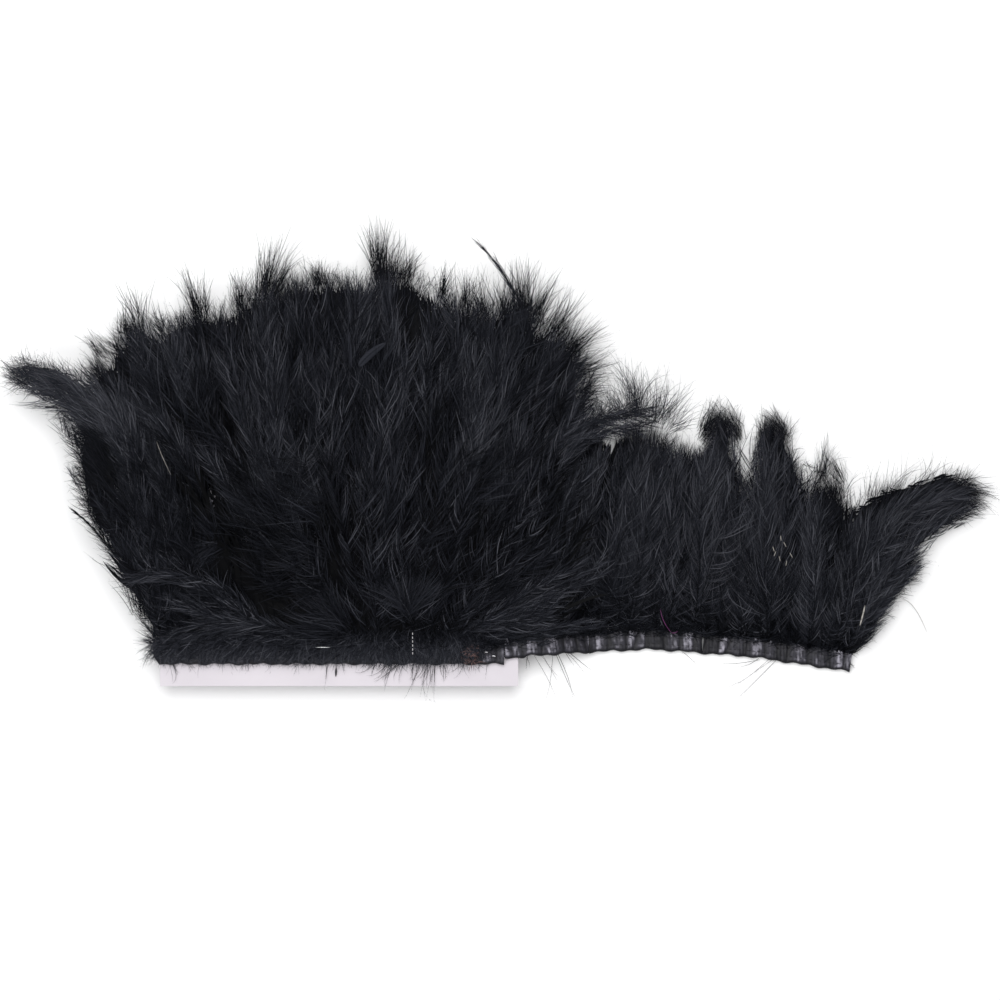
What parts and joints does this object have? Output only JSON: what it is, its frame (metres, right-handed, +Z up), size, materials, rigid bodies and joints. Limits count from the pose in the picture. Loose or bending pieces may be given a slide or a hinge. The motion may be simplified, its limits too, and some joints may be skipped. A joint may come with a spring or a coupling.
{
  "type": "feather boa trim on a winding card",
  "caption": "Flat feather boa: fluffy feathers sewn into a folded satin header, wound on a card with its outer end lying unrolled.",
  "frame": {"origin": "middle of the base, on the table that the wound boa lies on", "axes": "+X along the header towards its loose end, +Y the way the feathers point, +Z up from the table"},
  "size_m": [0.626, 0.305, 0.0402],
  "materials": {
    "card": "matte",
    "satin": "satin",
    "quill": "satin",
    "feather": "matte",
    "thread": "matte",
    "steel": "satin"
  },
  "bodies": {
    "wound_card": {"back_row_1_feathers": "feather", "back_row_1_header": "satin", "back_row_1_quills": "quill", "back_row_1_stitching": "thread", "back_row_2_feathers": "feather", "back_row_2_header": "satin", "back_row_2_quills": "quill", "back_row_2_stitching": "thread", "back_row_3_feathers": "feather", "back_row_3_header": "satin", "back_row_3_quills": "quill", "back_row_3_stitching": "thread", "card_staple": "steel", "front_row_1_feathers": "feather", "front_row_1_header": "satin", "front_row_1_quills": "quill", "front_row_1_stitching": "thread", "front_row_2_feathers": "feather", "front_row_2_header": "satin", "front_row_2_quills": "quill", "front_row_2_stitching": "thread", "front_row_3_feathers": "feather", "front_row_3_header": "satin", "front_row_3_quills": "quill", "front_row_3_stitching": "thread", "front_row_4_feathers": "feather", "front_row_4_header": "satin", "front_row_4_quills": "quill", "front_row_4_stitching": "thread", "left_turn_1": "satin", "left_turn_2": "satin", "left_turn_3": "satin", "right_turn_1": "satin", "right_turn_2": "satin", "right_turn_3": "satin", "tail_lead_header": "satin", "winding_card": "card"},
    "tail_inner": {"tail_1_feathers": "feather", "tail_1_header": "satin", "tail_1_quills": "quill", "tail_1_stitching": "thread"},
    "tail_middle": {"tail_2_feathers": "feather", "tail_2_header": "satin", "tail_2_quills": "quill", "tail_2_stitching": "thread"},
    "tail_outer": {"tail_3_feathers": "feather", "tail_3_header": "satin", "tail_3_quills": "quill", "tail_3_stitching": "thread"}
  },
  "joints": [
    {"name": "fold_at_card", "type": "hinge", "parent": "wound_card", "child": "tail_inner", "pos_m": [0.0163, -0.1285, 0.019], "axis": [0, -1, 0], "range_deg": [0, 60]},
    {"name": "fold_mid_tail", "type": "hinge", "parent": "tail_inner", "child": "tail_middle", "pos_m": [0.098, -0.1285, 0.0027], "axis": [0, -1, 0], "range_deg": [0, 60]},
    {"name": "fold_near_end", "type": "hinge", "parent": "tail_middle", "child": "tail_outer", "pos_m": [0.163, -0.1285, 0.0027], "axis": [0, -1, 0], "range_deg": [0, 60]}
  ]
}
